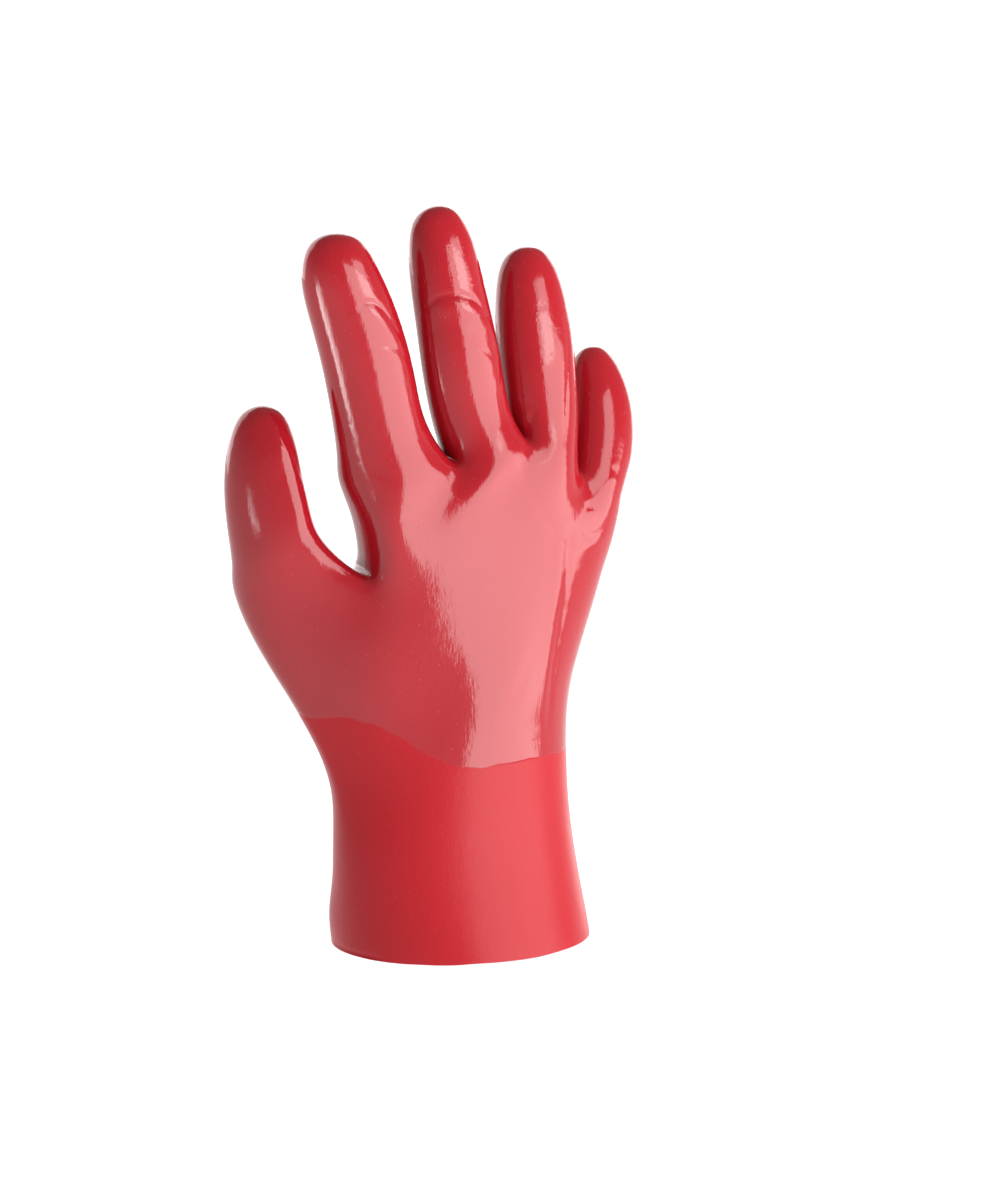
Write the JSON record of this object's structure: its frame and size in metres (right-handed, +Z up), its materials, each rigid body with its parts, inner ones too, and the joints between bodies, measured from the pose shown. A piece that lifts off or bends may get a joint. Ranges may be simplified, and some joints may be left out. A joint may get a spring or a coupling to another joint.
{
  "type": "pvc coated work glove",
  "caption": "Smooth gauntlet-length PVC coated work glove for the right hand, standing open on its cuff with the fingers up; protects the hand from abrasion and wet.",
  "frame": {"origin": "centre of the glove's box, on the plane that the cuff's rim stands on", "axes": "+Z up from the rim to the fingertips, -Y out of the back of the hand, -X towards the thumb"},
  "size_m": [0.1562, 0.081, 0.2652],
  "materials": {
    "pvc_coat": "glossy smooth red PVC over an off-white cotton knit that shows inside the cuff"
  },
  "bodies": {
    "root": {"cuff": "pvc_coat", "wrist": "pvc_coat", "palm": "pvc_coat", "thumb": "pvc_coat", "index_finger": "pvc_coat", "middle_finger": "pvc_coat", "ring_finger": "pvc_coat", "little_finger": "pvc_coat"}
  },
  "joints": []
}
